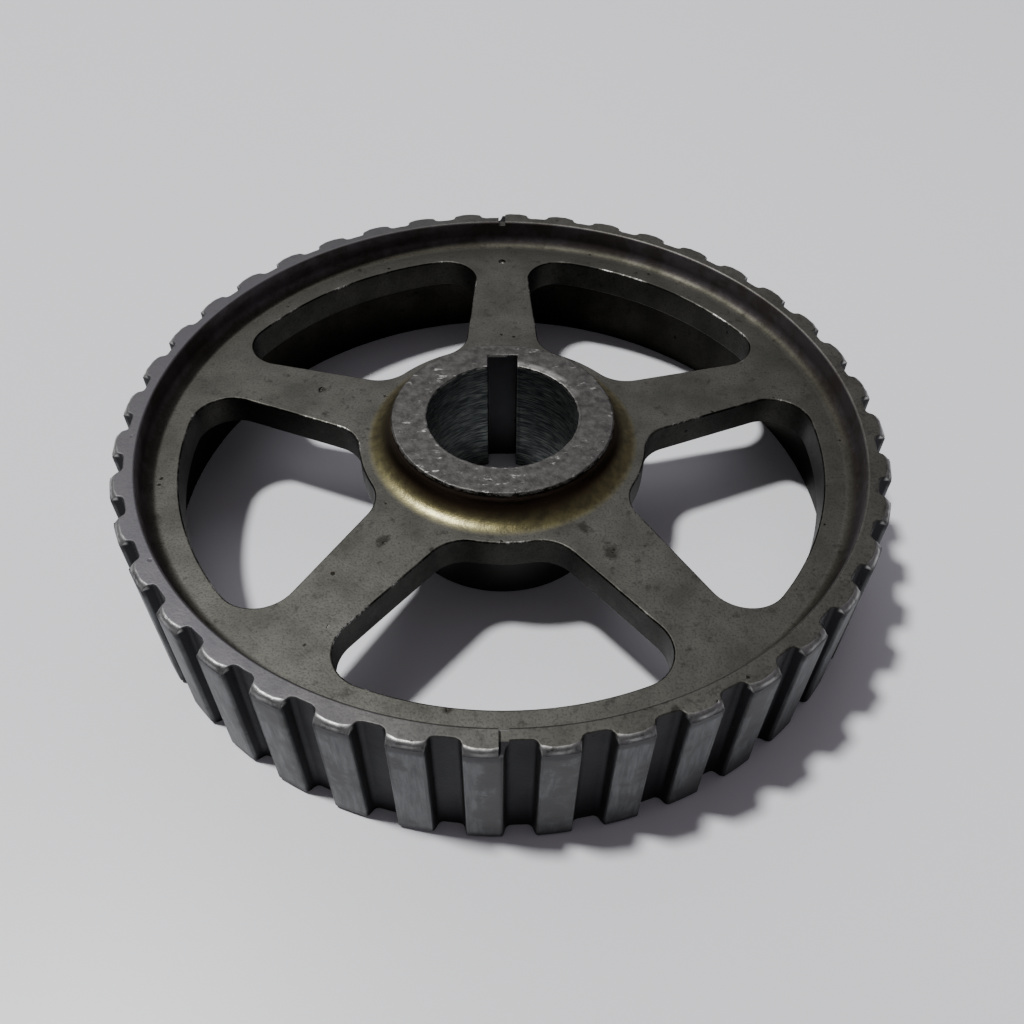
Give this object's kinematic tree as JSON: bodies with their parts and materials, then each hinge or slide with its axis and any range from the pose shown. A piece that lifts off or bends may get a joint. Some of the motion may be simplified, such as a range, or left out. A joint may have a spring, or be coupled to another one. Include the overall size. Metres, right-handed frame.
{
  "type": "timing belt pulley",
  "caption": "Spoked timing belt pulley with a wide toothed rim, recessed web, plain bore and keyway.",
  "frame": {"origin": "on the pulley's axis, at the plane of the rim's lower face and the hub's lower end", "axes": "+Z along the axis, out of the side where the web is recessed least; +Y from the axis through the keyway"},
  "size_m": [0.1206, 0.1206, 0.0233],
  "materials": {
    "rim_steel": "sintered iron, tooth crowns burnished by the belt, oily grey",
    "web_steel": "sintered iron, satin olive grey with an old oil film",
    "hub_steel": "sintered iron, machined bore and scuffed bright end face"
  },
  "bodies": {
    "root": {"toothed_rim": "rim_steel", "spoke_web": "web_steel", "keyed_hub": "hub_steel"}
  },
  "joints": []
}
